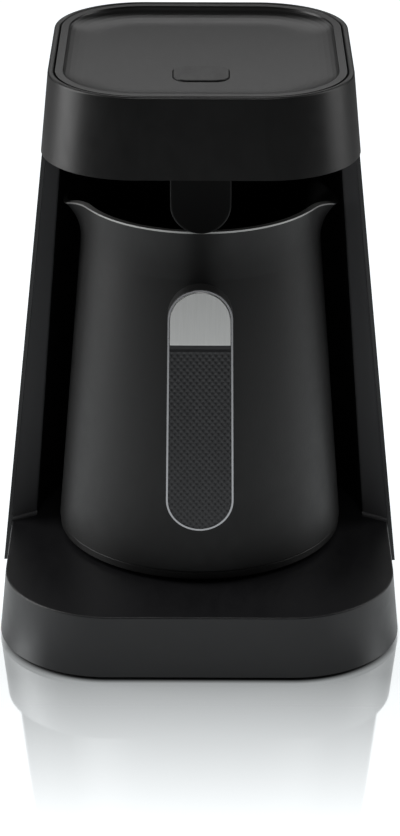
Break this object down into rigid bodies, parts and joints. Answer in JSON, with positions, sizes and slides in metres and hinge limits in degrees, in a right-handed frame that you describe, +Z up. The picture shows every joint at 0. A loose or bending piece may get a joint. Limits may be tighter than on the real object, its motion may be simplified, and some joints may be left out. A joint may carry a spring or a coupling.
{
  "type": "electric turkish coffee maker",
  "caption": "Compact electric Turkish coffee maker: tapered black housing with an open bay, a heated pot with side spouts and a straight handle, and a start button on top.",
  "frame": {"origin": "centre of the bounding box at the height of the feet's undersides", "axes": "+Z up, the user stands on the -Y side, +X to the user's right"},
  "size_m": [0.1528, 0.1654, 0.2167],
  "materials": {
    "housing_black": "fine satin",
    "inner_black": "matt",
    "lining_black": "fine satin",
    "panel_black": "satin",
    "button_black": "satin",
    "gloss_black": "gloss",
    "window_dark": "gloss",
    "switch_white": "matt",
    "switch_black": "matt",
    "lamp_clear": "clear",
    "chip_black": "matt",
    "board_green": "satin",
    "contact_brass": "polished",
    "spring_steel": "bright",
    "relay_blue": "satin",
    "transformer_yellow": "satin",
    "can_silver": "satin",
    "terminal_green": "satin",
    "rubber_black": "matt",
    "wire_black": "matt",
    "sleeve_black": "fine grain",
    "cup_black": "satin",
    "pot_coating": "fine matt non-stick coating",
    "heater_aluminium": "cast",
    "element_steel": "oxidised",
    "seal_silicone": "matt",
    "handle_black": "satin",
    "screw_steel": "zinc plated",
    "frame_steel": "satin",
    "cap_steel": "fine brushed",
    "grip_rubber": "dimpled"
  },
  "bodies": {
    "housing": {"base_shell": "housing_black", "bottom_plate": "inner_black", "bottom_screws": "screw_steel", "rubber_feet": "rubber_black", "rear_housing": "housing_black", "tower_screws": "screw_steel", "bay_lining": "lining_black", "head_band": "housing_black", "head_underside": "inner_black", "head_screws": "screw_steel", "top_panel": "panel_black", "button_spring": "spring_steel", "control_board": "board_green", "push_switch": "switch_black", "sounder": "switch_black", "button_lamp": "lamp_clear", "control_chips": "chip_black", "sensor_housing": "gloss_black", "sensor_window": "window_dark", "sensor_board": "board_green", "contact_socket": "inner_black", "socket_cover": "inner_black", "pin_springs": "spring_steel", "power_board": "board_green", "relay": "relay_blue", "transformer": "transformer_yellow", "capacitors": "can_silver", "terminal_block": "terminal_green", "fuse": "can_silver", "cord_gland": "rubber_black", "head_wires": "wire_black"},
    "pot": {"pot_sleeve": "sleeve_black", "pot_lining": "pot_coating", "pot_base_cup": "cup_black", "pot_glides": "rubber_black", "pot_contact_plate": "cup_black", "pot_contact_rings": "contact_brass", "heater_plate": "heater_aluminium", "heating_element": "element_steel", "thermostat": "can_silver", "thermal_fuse": "can_silver", "temperature_probe": "contact_brass", "base_seal": "seal_silicone", "handle_body": "handle_black", "handle_screws": "screw_steel", "handle_frame": "frame_steel", "handle_cap": "cap_steel", "handle_grip": "grip_rubber"},
    "start_button": {"start_button": "button_black"},
    "switch_plunger": {"switch_plunger": "switch_white"},
    "contact_pins": {"contact_pins": "contact_brass"}
  },
  "joints": [
    {"name": "pot_slide", "type": "slide", "parent": "housing", "child": "pot", "axis": [0, -1, 0], "range_m": [0, 0.16]},
    {"name": "start_press", "type": "slide", "parent": "housing", "child": "start_button", "axis": [0, 0, -1], "range_m": [0, 0.001], "stiffness_N_per_m": 400, "springref_m": -0.001, "deforming": ["button_spring"]},
    {"name": "plunger_press", "type": "slide", "parent": "housing", "child": "switch_plunger", "axis": [0, 0, -1], "range_m": [0, 0.001]},
    {"name": "contact_press", "type": "slide", "parent": "housing", "child": "contact_pins", "axis": [0, 0, -1], "range_m": [0, 0.0008], "stiffness_N_per_m": 800, "springref_m": -0.001, "deforming": ["pin_springs"]}
  ],
  "couplings": [
    {"joint": "plunger_press", "follows": "start_press", "ratio": 1}
  ]
}
